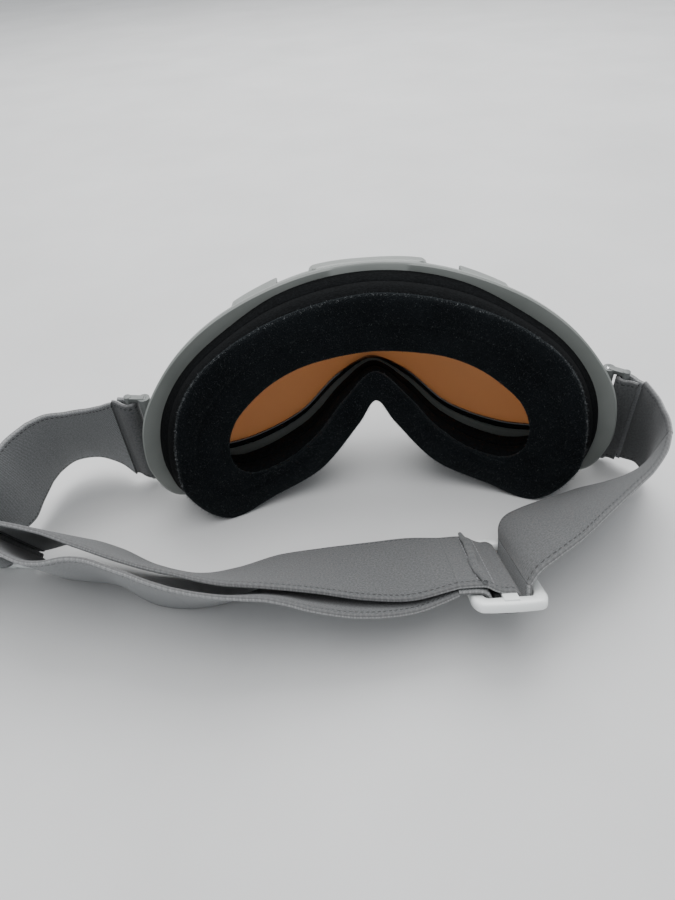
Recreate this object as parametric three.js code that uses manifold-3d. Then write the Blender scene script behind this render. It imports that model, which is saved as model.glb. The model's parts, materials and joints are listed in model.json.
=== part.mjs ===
// Ski goggles with an adjustable double strap, standing on their foam and their lower frame edge.
//
// The goggles are built in a frame of their own: x to the wearer's right as seen from behind,
// y forwards through the lens, z up. That frame leans forward and its foam's lower corners touch
// the ground. The strap lies behind the goggles in a closed loop. Lengths are millimetres.

import * as THREE from "three";
import { ParametricGeometry } from "three/addons/geometries/ParametricGeometry.js";
import { mergeVertices } from "three/addons/utils/BufferGeometryUtils.js";
import Module from "manifold-3d";

// ---- Driving dimensions ----

const HALF_WIDTH = 85; // centre plane to the frame's side edge
const WRAP = 28; // how far the middle of the goggles stands in front of their sides
const FACE_SETBACK = 15.4; // puts the foam's lower corners at y = 0
const FORWARD_LEAN = 8; // degrees

const FOAM_DEPTH = 16.7; // the frame begins behind this depth, measured from the face
const FLEECE_DEPTH = 2.9;
const MIDDLE_FOAM_DEPTH = 10;
const FLANGE_DEPTH = [17, 18.8];
const SEAL_DEPTH = [25.4, 26.7];
const LENS_LEDGE_DEPTH = [27, 28.8];
const INNER_LENS_DEPTH = [29.1, 30.3];
const SPACER_DEPTH = [30.6, 31.8];
const OUTER_LENS_DEPTH = [32.1, 33.3];
const FRAME_DEPTH = 36;

const PIN_RADIUS = 1;
const PIN_LENGTH = 41.8;
const PIN_HOLE_RADIUS = 1.3;
const KNUCKLE_RADIUS = 2.3;
const LUG_RADIUS = 2.8;
const LUG_LENGTH = 13.4;
const KNUCKLE_START = 8; // from the middle of the pin
const ANCHOR_HALF_HEIGHT = 21.2;
const ANCHOR_ARM = 1.9;
const ANCHOR_BAR_OFFSET = 6.2;
const ANCHOR_BAR_RADIUS = 1.3;
const PIN_PLACE = { x: 84.8, y: 19.5, z: 26.2 };
const PIN_TILT = 12; // degrees from the goggles' own z, so that the pins lean a little to the wearer
const SWING_LEFT = 8; // degrees that the left anchor points forwards
const SWING_RIGHT = 35; // degrees that the right anchor points backwards

const STRAP_WIDTH = 38;
const STRAP_THICK = 1.6;
const GAP = 0.3;
const FOAM_GAP = 0.5;

const SLIDER = { length: 22, width: 47, thick: 3, sideBar: 3.5, slotWidth: 40, centreBar: 3.4, barThick: 2 };
const SLIDER_RIGHT = { centre: [32.5, -43.7, 13.1], yaw: 0, lean: 26 };
const SLIDER_LEFT = { centre: [-138, -27, 21.8], yaw: -11, lean: 62 };

// Half outlines seen from behind, [x, z], from the top centre round the side to the nose. The
// points of one outline match those of the others, so a section can blend from one to another.
const FRAME_EDGE = [
  [0, 86], [20, 84.5], [39, 79.8], [56, 72.8], [68, 64.5], [76.5, 55], [82.5, 44.5],
  [84.8, 33], [84, 21], [77, 8], [50, 6], [27, 14.5], [11.5, 29.5], [0, 43],
];
const FRONT_EDGE = [
  [0, 81.5], [20, 80.5], [38, 76], [54, 69], [65, 61], [73, 52.5], [79, 43],
  [81, 33], [80.5, 22], [73, 9.5], [50, 5.8], [27.5, 15], [12, 30], [0, 43],
];
const LENS_EDGE = [
  [0, 70], [20, 69], [38, 65], [52, 58], [62, 49.5], [68, 41.5], [71, 34],
  [71.8, 28], [70, 21.5], [60, 19.5], [48, 19.7], [30, 26], [13, 41], [0, 46.6],
];
const FOAM_BASE_EDGE = [
  [0, 83.5], [18, 82], [35, 77.7], [52, 69], [64, 61], [71.5, 53], [76.5, 44],
  [79, 33], [78.5, 20], [73, 7], [46, 6], [25.5, 14], [11, 28.5], [0, 42],
];
const FOAM_FACE_EDGE = [
  [0, 79.5], [19, 77.3], [37, 72.7], [52, 66], [62, 58], [67.5, 49], [70, 38.5],
  [70.8, 28], [69.5, 15], [57, 0], [40, 5], [22, 13], [10, 26], [0, 40],
];
const EYE_EDGE = [
  [0, 59.3], [14, 58.2], [26, 56], [36, 52], [44, 46.5], [50, 40.5], [53, 33.5],
  [53.5, 27], [51.5, 20.5], [46, 16.5], [34, 19], [22, 28], [11, 41.5], [0, 51.5],
];
const OUTLINE_STEPS = 2 * (FRAME_EDGE.length - 1);

// Strap stations: [x, y, z, azimuth, lean], the middle of the strap and the direction of its
// width, which points up and away from the table.
const LEFT_FRONT = [
  [-97.7, 24.2, 23, -90, 86], [-103, 25.3, 24.3, -74, 73], [-110, 25.5, 25.7, -62, 64], [-117, 23.5, 26.4, -57, 63],
  [-123, 19.5, 26.7, -55, 69], [-126.5, 14, 26.7, -62, 73],
];
const LEFT_SIDE = [
  [-126.6, 13.6, 26.7, -63, 73], [-129.8, 5.5, 25.5, -82, 76], [-133, -4, 23, -98, 73], [-139, -11, 22, -101, 70],
  [-148, -13.5, 21.5, -101, 67], [-156, -17.5, 21, -101, 64], [-160, -23, 20.5, -101, 62],
  [-158.5, -28.5, 20, -101, 62], [-153, -28.2, 19.7, -101, 62],
];
const INNER_RUN = [
  [-123.3, -24.9, 24, -101, 62], [-109, -26, 24, -96, 53], [-95, -30, 21, -94, 51], [-82, -35, 18, -93, 53],
  [-67, -39, 16, -92, 52], [-53, -40, 15, -91, 44], [-38, -39, 15, -91, 35], [-23, -39, 14.3, -92, 29],
  [-9, -40, 14, -92, 23], [4, -41, 14.9, -92, 20], [18, -41.5, 17.2, -91, 26],
];
const OUTER_RUN = [
  [18, -42.7, 15.2, -90, 26], [5, -45, 12.2, -87, 25], [-10, -47, 12, -86, 28], [-24, -48, 13, -85, 36],
  [-38, -48, 15, -84, 45], [-52, -50, 16.2, -85, 53], [-66, -50, 17.5, -88, 61], [-80, -46, 19, -90, 66],
  [-93, -40, 20.5, -97, 63], [-106, -38.5, 20, -100, 58], [-116, -35, 20.5, -100, 61], [-123.6, -28.7, 22.3, -101, 62],
];
const RIGHT_FRONT = [
  [95.5, 15.3, 23.3, -90, 86], [98, 9.5, 23.5, -122, 79], [98.5, 3.5, 22.8, -124, 78], [97, -2, 22.1, -104, 78],
  [94.3, -5.8, 21.5, -83, 73],
];
const RIGHT_SIDE = [
  [94, -6.1, 21.5, -82, 72.5], [88, -10, 21, -68, 62], [79, -14.5, 21.5, -67, 48], [70, -19.5, 21, -67, 42],
  [61, -25, 21, -68, 36], [52, -31, 21, -71, 30], [45, -35.5, 20.7, -77, 27], [40.4, -39, 19.2, -85, 26],
  [38.6, -41.9, 16.7, -90, 26],
];

// ---- Materials ----

const MATERIALS = {
  frame: new THREE.MeshStandardMaterial({ color: 0x868b86, roughness: 0.45, metalness: 0 }),
  lens: new THREE.MeshStandardMaterial({ color: 0x96602f, roughness: 0.15, metalness: 0 }),
  seal: new THREE.MeshStandardMaterial({ color: 0x101214, roughness: 0.2, metalness: 0 }),
  spacer: new THREE.MeshStandardMaterial({ color: 0x1a1b1c, roughness: 0.9, metalness: 0 }),
  foam: new THREE.MeshStandardMaterial({ color: 0x0f1113, roughness: 1, metalness: 0 }),
  fleece: new THREE.MeshStandardMaterial({ color: 0x0c0f11, roughness: 1, metalness: 0 }),
  anchor: new THREE.MeshStandardMaterial({ color: 0x5b5f5e, roughness: 0.5, metalness: 0 }),
  pin: new THREE.MeshStandardMaterial({ color: 0xb8babd, roughness: 0.3, metalness: 1 }),
  strap: new THREE.MeshStandardMaterial({ color: 0x7d7f80, roughness: 0.95, metalness: 0 }),
  slider: new THREE.MeshStandardMaterial({ color: 0xebeeec, roughness: 0.4, metalness: 0 }),
};

// ---- Joining and cutting ----

const wasm = await Module();
wasm.setup();

function solidOf(geometry) {
  const bare = geometry.clone();
  bare.deleteAttribute("normal");
  bare.deleteAttribute("uv");
  const merged = mergeVertices(bare, 1e-3);
  const vertProperties = new Float32Array(merged.attributes.position.array);
  const triVerts = new Uint32Array(merged.index.array);
  return new wasm.Manifold(new wasm.Mesh({ numProp: 3, vertProperties, triVerts }));
}

function geometryOf(solid) {
  const { vertProperties, triVerts } = solid.getMesh();
  const geometry = new THREE.BufferGeometry();
  geometry.setAttribute("position", new THREE.BufferAttribute(vertProperties, 3));
  geometry.setIndex(new THREE.BufferAttribute(triVerts, 1));
  geometry.computeVertexNormals();
  return geometry;
}

function combined(base, added, removed = []) {
  let result = solidOf(base);
  for (const geometry of added) {
    result = result.add(solidOf(geometry));
  }
  for (const geometry of removed) {
    result = result.subtract(solidOf(geometry));
  }
  return geometryOf(result);
}

function mesh(name, geometry, material) {
  const made = new THREE.Mesh(geometry, material);
  made.name = name;
  return made;
}

// ---- Shapes that follow the goggles' wrap ----

function wrapAt(x) {
  return WRAP * (1 - (x / HALF_WIDTH) ** 2) - FACE_SETBACK;
}

function blend(from, to, share) {
  return from.map(([x, z], i) => [x + (to[i][0] - x) * share, z + (to[i][1] - z) * share]);
}

// The whole closed outline as a curve in the x-z plane, mirrored from its right half.
function outlineCurve(half) {
  const right = half.map(([x, z]) => new THREE.Vector3(x, 0, z));
  const left = half
    .slice(1, -1)
    .reverse()
    .map(([x, z]) => new THREE.Vector3(-x, 0, z));
  return new THREE.CatmullRomCurve3([...right, ...left], true);
}

// The outline's point at a station number, where 0 is the top centre and the last is the nose.
function outlinePoint(curve, station, depth) {
  const turns = station / OUTLINE_STEPS;
  const point = curve.getPoint(turns - Math.floor(turns));
  point.y = wrapAt(point.x) + depth;
  return point;
}

// A ring whose section has one corner on each given outline, at that outline's depth.
function ring(corners) {
  const curves = corners.map(([outline, depth]) => ({ curve: outlineCurve(outline), depth }));
  const place = (u, v, target) => {
    const { curve, depth } = curves[Math.round(v * corners.length) % corners.length];
    target.copy(outlinePoint(curve, u * OUTLINE_STEPS, depth));
  };
  return new ParametricGeometry(place, 2 * OUTLINE_STEPS, corners.length);
}

// A unit box whose points are moved by place(u, v, w), with each number from 0 to 1.
function shapedBox(steps, place) {
  const geometry = new THREE.BoxGeometry(1, 1, 1, ...steps);
  const position = geometry.getAttribute("position");
  const point = new THREE.Vector3();
  for (let i = 0; i < position.count; i++) {
    point.fromBufferAttribute(position, i).addScalar(0.5);
    position.setXYZ(i, ...place(point.x, point.y, point.z));
  }
  return geometry;
}

// A strip along part of a ring, between two outlines and two depths.
function strip([start, end], [inner, outer], [near, far], steps = 8) {
  const innerCurve = outlineCurve(inner);
  const outerCurve = outlineCurve(outer);
  return shapedBox([steps, 1, 1], (u, v, w) => {
    const station = start + (end - start) * u;
    const depth = near + (far - near) * v;
    const low = outlinePoint(innerCurve, station, depth);
    return low.lerp(outlinePoint(outerCurve, station, depth), w);
  });
}

// ---- Goggles ----

function frameRing() {
  const rim = (share) => blend(FRAME_EDGE, LENS_EDGE, share);
  const front = (share) => blend(FRONT_EDGE, LENS_EDGE, share);
  return ring([
    [rim(0), FLANGE_DEPTH[0]],
    [rim(0), FLANGE_DEPTH[1] + 1.7],
    [blend(FRAME_EDGE, FRONT_EDGE, 0.5), 23],
    [front(0), FRAME_DEPTH - 1.5],
    [front(0.12), FRAME_DEPTH],
    [front(0.3), FRAME_DEPTH],
    [front(0.3), LENS_LEDGE_DEPTH[1]],
    [front(0.8), LENS_LEDGE_DEPTH[1]],
    [front(0.8), LENS_LEDGE_DEPTH[0]],
    [front(0.3), LENS_LEDGE_DEPTH[0]],
    [rim(0.3), FLANGE_DEPTH[1]],
    [rim(0.6), FLANGE_DEPTH[1]],
    [rim(0.6), FLANGE_DEPTH[0]],
  ]);
}

function topPads() {
  const outlines = [blend(FRONT_EDGE, LENS_EDGE, 0.15), blend(FRONT_EDGE, LENS_EDGE, -0.22)];
  const spans = [[-1.1, 1.1], [1.75, 2.75], [-2.75, -1.75]];
  return spans.map((span) => strip(span, outlines, [25, 33]));
}

function ventSlots() {
  const outlines = [blend(FRAME_EDGE, LENS_EDGE, 0.45), blend(FRAME_EDGE, LENS_EDGE, -0.4)];
  const spans = [[0.2, 1], [1.8, 2.6], [-1, -0.2], [-2.6, -1.8]];
  return spans.map((span) => strip(span, outlines, [21.4, 24.4], 4));
}

// The transform of a side's hinge: its pin stands up, leaning back from the frame's own z.
function hingeMatrix(side, swing = 0) {
  const position = new THREE.Vector3(side * PIN_PLACE.x, PIN_PLACE.y, PIN_PLACE.z);
  const turn = side > 0 ? -swing : 180 - swing;
  const angles = new THREE.Euler(THREE.MathUtils.degToRad(PIN_TILT), 0, THREE.MathUtils.degToRad(turn), "XYZ");
  const rotation = new THREE.Quaternion().setFromEuler(angles);
  return new THREE.Matrix4().compose(position, rotation, new THREE.Vector3(1, 1, 1));
}

function upright(radius, length, sides = 24) {
  return new THREE.CylinderGeometry(radius, radius, length, sides).rotateX(Math.PI / 2);
}

function hingeLug(side) {
  const reach = 5;
  const web = new THREE.BoxGeometry(reach, 2 * LUG_RADIUS, LUG_LENGTH).translate(-reach / 2, 0, 0);
  return [web, upright(LUG_RADIUS, LUG_LENGTH)].map((part) => part.applyMatrix4(hingeMatrix(side)));
}

function pinHole(side) {
  return upright(PIN_HOLE_RADIUS, 2 * LUG_LENGTH).applyMatrix4(hingeMatrix(side));
}

function frame() {
  const lugs = [...hingeLug(-1), ...hingeLug(1)];
  const holes = [...ventSlots(), pinHole(-1), pinHole(1)];
  return combined(frameRing(), [...topPads(), ...lugs], holes);
}

// A lens plate between the upper and the lower half of an outline, with short straight sides.
function lensPlate([near, far]) {
  const curve = outlineCurve(blend(FRONT_EDGE, LENS_EDGE, 0.43));
  const side = 7; // outline station at the lens's side
  const cut = 0.3;
  return shapedBox([32, 1, 8], (u, v, w) => {
    const depth = near + (far - near) * v;
    const top = outlinePoint(curve, (side - cut) * (2 * u - 1), depth);
    const halfBottom = OUTLINE_STEPS / 2 - side - cut;
    const bottom = outlinePoint(curve, OUTLINE_STEPS / 2 + halfBottom * (1 - 2 * u), depth);
    const point = bottom.lerp(top, w);
    point.y = wrapAt(point.x) + depth;
    return point;
  });
}

function lensSpacer() {
  const outer = blend(FRONT_EDGE, LENS_EDGE, 0.5);
  const inner = blend(FRONT_EDGE, LENS_EDGE, 0.72);
  return ring([[outer, SPACER_DEPTH[0]], [outer, SPACER_DEPTH[1]], [inner, SPACER_DEPTH[1]], [inner, SPACER_DEPTH[0]]]);
}

function lensRimSeal() {
  const outer = blend(FRONT_EDGE, LENS_EDGE, 0.7);
  return ring([[outer, SEAL_DEPTH[0]], [outer, SEAL_DEPTH[1]], [LENS_EDGE, SEAL_DEPTH[1]], [LENS_EDGE, SEAL_DEPTH[0]]]);
}

function foamLayer(near, far) {
  const eyeBase = blend(EYE_EDGE, LENS_EDGE, 0.45);
  const outer = (depth) => blend(FOAM_FACE_EDGE, FOAM_BASE_EDGE, depth / FOAM_DEPTH);
  const inner = (depth) => blend(EYE_EDGE, eyeBase, depth / FOAM_DEPTH);
  return ring([[outer(near), near], [outer(far), far], [inner(far), far], [inner(near), near]]);
}

function ventFoam(span) {
  const outlines = [blend(FRONT_EDGE, LENS_EDGE, 0.6), blend(FRONT_EDGE, LENS_EDGE, 0.42)];
  return strip(span, outlines, [19.6, 25], 12);
}

function anchor() {
  const outer = 2 * ANCHOR_HALF_HEIGHT;
  const armMiddle = ANCHOR_HALF_HEIGHT - ANCHOR_ARM / 2;
  const armLength = ANCHOR_BAR_OFFSET + ANCHOR_BAR_RADIUS;
  const knuckleLength = ANCHOR_HALF_HEIGHT - KNUCKLE_START;
  const knuckleMiddle = KNUCKLE_START + knuckleLength / 2;
  const bar = upright(ANCHOR_BAR_RADIUS, outer).translate(ANCHOR_BAR_OFFSET, 0, 0);
  const added = [];
  for (const end of [-1, 1]) {
    added.push(new THREE.BoxGeometry(armLength, 3, ANCHOR_ARM).translate(armLength / 2, 0, end * armMiddle));
    added.push(upright(KNUCKLE_RADIUS, knuckleLength).translate(0, 0, end * knuckleMiddle));
  }
  return combined(bar, added, [upright(PIN_HOLE_RADIUS, 2 * outer)]);
}

// ---- Straps ----

function widthDirection(azimuth, lean) {
  const polar = THREE.MathUtils.degToRad(90 - lean);
  return new THREE.Vector3(0, 0, 1)
    .applyAxisAngle(new THREE.Vector3(0, 1, 0), polar)
    .applyAxisAngle(new THREE.Vector3(0, 0, 1), THREE.MathUtils.degToRad(azimuth));
}

// A flat strap whose middle runs through the points, with its width along the directions.
function ribbon(points, directions, steps, width = STRAP_WIDTH, thick = STRAP_THICK) {
  const middle = new THREE.CatmullRomCurve3(points);
  const across = new THREE.CatmullRomCurve3(directions);
  return shapedBox([steps, 1, 1], (u, v, w) => {
    const side = across.getPoint(u).normalize();
    const normal = middle.getTangent(u).cross(side).normalize();
    return middle
      .getPoint(u)
      .addScaledVector(side, (v - 0.5) * width)
      .addScaledVector(normal, (w - 0.5) * thick);
  });
}

function strapRun(stations, steps = 3 * stations.length) {
  const points = stations.map(([x, y, z]) => new THREE.Vector3(x, y, z));
  const directions = stations.map(([, , , azimuth, lean]) => widthDirection(azimuth, lean));
  return ribbon(points, directions, steps);
}

// A strap folded through a fitting: its path is drawn in the fitting's x-z plane.
function foldedStrap(path, steps = 3 * path.length) {
  const points = path.map(([x, z]) => new THREE.Vector3(x, 0, z));
  const directions = path.map(() => new THREE.Vector3(0, 1, 0));
  return ribbon(points, directions, steps);
}

// The sewn loop round an anchor's bar, drawn in the anchor's x-y plane.
function anchorLoop() {
  const radius = ANCHOR_BAR_RADIUS + GAP + STRAP_THICK / 2;
  const layer = STRAP_THICK / 2 + GAP / 2;
  const bar = ANCHOR_BAR_OFFSET;
  const side = [[bar, radius], [bar + 2.4, 1.9], [bar + 4, layer], [bar + 6, layer]];
  const path = [
    ...side.map(([x, y]) => [x, -y]).reverse(),
    [bar - 0.72 * radius, -0.72 * radius],
    [bar - radius, 0],
    [bar - 0.72 * radius, 0.72 * radius],
    ...side,
  ];
  return foldedStrap(path).rotateX(Math.PI / 2);
}

// ---- Sliders ----

function sliderPlate() {
  const { length, width, thick, sideBar, slotWidth, centreBar, barThick } = SLIDER;
  const slot = (length - 2 * sideBar - centreBar) / 2;
  const slotMiddle = centreBar / 2 + slot / 2;
  const plate = new THREE.BoxGeometry(length, width, thick);
  const openings = [-1, 1].map((end) =>
    new THREE.BoxGeometry(slot, slotWidth, 2 * thick).translate(end * slotMiddle, 0, 0),
  );
  const shave = thick - barThick;
  const reliefs = [-1, 1].map((end) =>
    new THREE.BoxGeometry(centreBar + slot, slotWidth, shave).translate(0, 0, (end * thick) / 2),
  );
  return combined(plate, [], [...openings, ...reliefs]);
}

// Paths through a slider, [along, inwards]. The sewn loop holds the centre bar, and the other
// strap is threaded round it.
const SEWN_LOOP = [
  [-14, 4.75], [-9, 4.85], [-6, 4.5], [-3.5, 3.1], [-1, 2.2], [1.2, 2.15], [2.7, 1.2], [2.85, -1],
  [1.2, -2.15], [-1.2, -2.15], [-2.7, -1.2], [-2.85, 0.2],
];
const THREAD_RIGHT = [
  [6.1, 2.9], [6, 0.5], [5.4, -2], [3.4, -3.7], [0, -4.1], [-3.4, -3.7], [-5.3, -2], [-5.5, 0.3],
  [-6.6, 2.1], [-9, 2.75], [-14, 2.75],
];
const SEWN_LOOP_LEFT = [
  [14, 2.7], [9, 2.75], [5.5, 2.5], [3, 2.2], [-1.2, 2.15], [-2.7, 1.2], [-2.85, -1],
  [-1.2, -2.15], [1.2, -2.15], [2.7, -1.2], [2.85, 0.2],
];
const THREAD_LEFT = [
  [14, 4.85], [9, 4.75], [4, 4.25], [0, 4.1], [-3, 3.9], [-5, 2.4], [-5.5, 0], [-6.6, -2.1], [-9, -2.8], [-14, -3.6],
];

function stitchedFold() {
  const fold = { width: 2.6, height: 2 };
  return new THREE.BoxGeometry(fold.width, STRAP_WIDTH, fold.height).translate(-6.4, 0, 6.7);
}

function sliderGroup({ centre, yaw, lean }) {
  const group = new THREE.Group();
  group.position.set(...centre);
  group.rotation.set(-THREE.MathUtils.degToRad(lean), 0, THREE.MathUtils.degToRad(yaw), "ZXY");
  return group;
}

// ---- Assembly ----

function goggles() {
  const group = new THREE.Group();
  group.rotation.x = -THREE.MathUtils.degToRad(FORWARD_LEAN);
  group.add(
    mesh("frame", frame(), MATERIALS.frame),
    mesh("outer_lens", lensPlate(OUTER_LENS_DEPTH), MATERIALS.lens),
    mesh("inner_lens", lensPlate(INNER_LENS_DEPTH), MATERIALS.lens),
    mesh("lens_spacer", lensSpacer(), MATERIALS.spacer),
    mesh("lens_rim_seal", lensRimSeal(), MATERIALS.seal),
    mesh("foam_base", foamLayer(MIDDLE_FOAM_DEPTH + FOAM_GAP, FOAM_DEPTH), MATERIALS.foam),
    mesh("foam_middle", foamLayer(FLEECE_DEPTH + FOAM_GAP, MIDDLE_FOAM_DEPTH), MATERIALS.foam),
    mesh("face_fleece", foamLayer(0, FLEECE_DEPTH), MATERIALS.fleece),
    mesh("top_vent_foam", ventFoam([-3.6, 3.6]), MATERIALS.foam),
    mesh("bottom_vent_foam_right", ventFoam([9.3, 11.4]), MATERIALS.foam),
    mesh("bottom_vent_foam_left", ventFoam([-11.4, -9.3]), MATERIALS.foam),
    anchorGroup("left", -1, SWING_LEFT),
    anchorGroup("right", 1, SWING_RIGHT),
  );
  return group;
}

function anchorGroup(name, side, swing) {
  const group = new THREE.Group();
  group.applyMatrix4(hingeMatrix(side, swing));
  group.add(
    mesh(`strap_anchor_${name}`, anchor(), MATERIALS.anchor),
    mesh(`anchor_pin_${name}`, upright(PIN_RADIUS, PIN_LENGTH), MATERIALS.pin),
    mesh(`strap_${name}_anchor_loop`, anchorLoop(), MATERIALS.strap),
  );
  return group;
}

function leftSlider() {
  const group = sliderGroup(SLIDER_LEFT);
  group.add(
    mesh("slider_left", sliderPlate(), MATERIALS.slider),
    mesh("strap_outer_end_loop", foldedStrap(SEWN_LOOP_LEFT), MATERIALS.strap),
    mesh("strap_left_thread", foldedStrap(THREAD_LEFT), MATERIALS.strap),
  );
  return group;
}

function rightSlider() {
  const group = sliderGroup(SLIDER_RIGHT);
  group.add(
    mesh("slider_right", sliderPlate(), MATERIALS.slider),
    mesh("strap_inner_end_loop", foldedStrap(SEWN_LOOP), MATERIALS.strap),
    mesh("strap_inner_fold", stitchedFold(), MATERIALS.strap),
    mesh("strap_right_thread", foldedStrap(THREAD_RIGHT), MATERIALS.strap),
  );
  return group;
}

function straps() {
  const group = new THREE.Group();
  group.add(
    mesh("strap_left_front", strapRun(LEFT_FRONT), MATERIALS.strap),
    mesh("strap_left_side", strapRun(LEFT_SIDE), MATERIALS.strap),
    mesh("strap_inner", strapRun(INNER_RUN), MATERIALS.strap),
    mesh("strap_outer", strapRun(OUTER_RUN), MATERIALS.strap),
    mesh("strap_right_front", strapRun(RIGHT_FRONT), MATERIALS.strap),
    mesh("strap_right_side", strapRun(RIGHT_SIDE), MATERIALS.strap),
  );
  return group;
}

// The origin is under the middle of the whole object, on the surface that it stands on.
function centred(group) {
  const box = new THREE.Box3().setFromObject(group, true);
  const middle = box.getCenter(new THREE.Vector3());
  group.position.set(-middle.x, -middle.y, -box.min.z);
  return group;
}

const skiGoggles = new THREE.Group();
skiGoggles.add(goggles(), leftSlider(), rightSlider(), straps());

export default centred(skiGoggles);
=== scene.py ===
"""Ski goggles with a double adjustable strap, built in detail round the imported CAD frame."""

import json
import math

import bmesh
import bpy
import numpy as np
from mathutils import Euler, Matrix, Vector
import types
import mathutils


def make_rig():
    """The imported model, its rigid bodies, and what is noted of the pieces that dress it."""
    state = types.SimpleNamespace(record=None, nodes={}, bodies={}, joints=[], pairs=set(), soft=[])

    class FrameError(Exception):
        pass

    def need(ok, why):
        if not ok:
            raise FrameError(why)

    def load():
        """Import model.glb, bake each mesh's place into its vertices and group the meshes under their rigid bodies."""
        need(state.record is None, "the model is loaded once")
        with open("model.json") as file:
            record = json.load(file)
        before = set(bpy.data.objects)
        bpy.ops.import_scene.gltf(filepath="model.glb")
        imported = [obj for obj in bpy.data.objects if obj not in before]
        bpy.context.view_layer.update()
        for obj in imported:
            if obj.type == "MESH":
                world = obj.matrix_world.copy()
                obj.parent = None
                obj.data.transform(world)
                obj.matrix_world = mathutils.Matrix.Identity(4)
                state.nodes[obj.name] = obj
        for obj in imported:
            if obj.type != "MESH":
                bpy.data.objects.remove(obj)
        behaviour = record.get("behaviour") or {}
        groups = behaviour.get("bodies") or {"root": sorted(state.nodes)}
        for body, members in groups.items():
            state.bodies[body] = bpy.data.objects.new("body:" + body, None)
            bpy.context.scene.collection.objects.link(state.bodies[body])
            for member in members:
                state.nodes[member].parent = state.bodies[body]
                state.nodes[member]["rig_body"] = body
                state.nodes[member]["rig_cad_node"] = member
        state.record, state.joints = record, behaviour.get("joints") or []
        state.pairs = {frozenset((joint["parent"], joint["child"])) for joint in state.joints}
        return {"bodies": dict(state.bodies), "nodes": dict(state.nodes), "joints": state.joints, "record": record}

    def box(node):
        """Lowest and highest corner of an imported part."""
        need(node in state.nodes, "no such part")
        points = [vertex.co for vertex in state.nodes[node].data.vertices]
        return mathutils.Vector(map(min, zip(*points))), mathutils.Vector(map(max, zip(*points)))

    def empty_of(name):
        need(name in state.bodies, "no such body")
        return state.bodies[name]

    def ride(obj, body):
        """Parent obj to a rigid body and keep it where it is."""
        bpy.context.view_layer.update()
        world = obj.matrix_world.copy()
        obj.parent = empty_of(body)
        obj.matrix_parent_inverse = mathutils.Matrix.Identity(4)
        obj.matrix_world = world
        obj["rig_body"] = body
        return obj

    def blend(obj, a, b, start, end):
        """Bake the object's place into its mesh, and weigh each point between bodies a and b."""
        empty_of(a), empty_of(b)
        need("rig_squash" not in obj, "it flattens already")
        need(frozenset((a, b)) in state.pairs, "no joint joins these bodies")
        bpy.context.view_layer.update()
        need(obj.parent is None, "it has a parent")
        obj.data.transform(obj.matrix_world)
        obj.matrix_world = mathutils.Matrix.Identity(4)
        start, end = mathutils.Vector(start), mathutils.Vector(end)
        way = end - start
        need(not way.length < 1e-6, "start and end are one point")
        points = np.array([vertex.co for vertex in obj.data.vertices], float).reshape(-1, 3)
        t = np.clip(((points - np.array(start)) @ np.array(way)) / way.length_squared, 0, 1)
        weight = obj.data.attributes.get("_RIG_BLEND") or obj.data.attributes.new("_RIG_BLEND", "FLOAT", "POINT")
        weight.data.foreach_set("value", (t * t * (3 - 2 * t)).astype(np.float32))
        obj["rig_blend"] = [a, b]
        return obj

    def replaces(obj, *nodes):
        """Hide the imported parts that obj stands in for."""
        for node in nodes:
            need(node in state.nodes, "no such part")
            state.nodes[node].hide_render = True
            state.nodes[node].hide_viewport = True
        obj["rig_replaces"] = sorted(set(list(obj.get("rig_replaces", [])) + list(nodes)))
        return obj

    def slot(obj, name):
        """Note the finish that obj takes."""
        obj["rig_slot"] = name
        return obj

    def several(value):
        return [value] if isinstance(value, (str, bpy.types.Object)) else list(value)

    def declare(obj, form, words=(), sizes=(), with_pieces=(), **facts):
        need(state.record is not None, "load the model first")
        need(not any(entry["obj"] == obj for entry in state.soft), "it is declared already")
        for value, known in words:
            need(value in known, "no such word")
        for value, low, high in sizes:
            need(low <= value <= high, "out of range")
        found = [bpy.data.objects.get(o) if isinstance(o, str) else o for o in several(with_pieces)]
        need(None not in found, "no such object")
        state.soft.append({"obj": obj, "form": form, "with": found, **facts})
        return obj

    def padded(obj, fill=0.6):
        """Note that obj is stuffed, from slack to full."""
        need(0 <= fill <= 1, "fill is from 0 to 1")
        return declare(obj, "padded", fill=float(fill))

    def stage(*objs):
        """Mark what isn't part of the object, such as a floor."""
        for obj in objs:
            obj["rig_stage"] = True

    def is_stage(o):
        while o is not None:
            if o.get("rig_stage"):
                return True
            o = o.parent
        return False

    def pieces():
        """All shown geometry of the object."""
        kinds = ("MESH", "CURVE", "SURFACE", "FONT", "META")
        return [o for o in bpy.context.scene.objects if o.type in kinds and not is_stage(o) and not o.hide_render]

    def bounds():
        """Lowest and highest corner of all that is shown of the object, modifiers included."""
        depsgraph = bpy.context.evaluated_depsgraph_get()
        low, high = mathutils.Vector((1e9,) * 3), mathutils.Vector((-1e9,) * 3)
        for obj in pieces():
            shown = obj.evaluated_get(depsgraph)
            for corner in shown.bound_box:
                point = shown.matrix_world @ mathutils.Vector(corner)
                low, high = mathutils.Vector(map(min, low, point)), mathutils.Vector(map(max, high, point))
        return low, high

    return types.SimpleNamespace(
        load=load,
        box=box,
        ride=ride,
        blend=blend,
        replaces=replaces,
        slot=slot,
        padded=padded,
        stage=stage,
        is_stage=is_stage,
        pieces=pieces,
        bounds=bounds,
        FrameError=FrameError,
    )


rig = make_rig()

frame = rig.load()
cad_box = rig.bounds()

MM = 0.001
RANDOM = np.random.default_rng(7)

# ---- Driving dimensions, in millimetres and degrees ----

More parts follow.
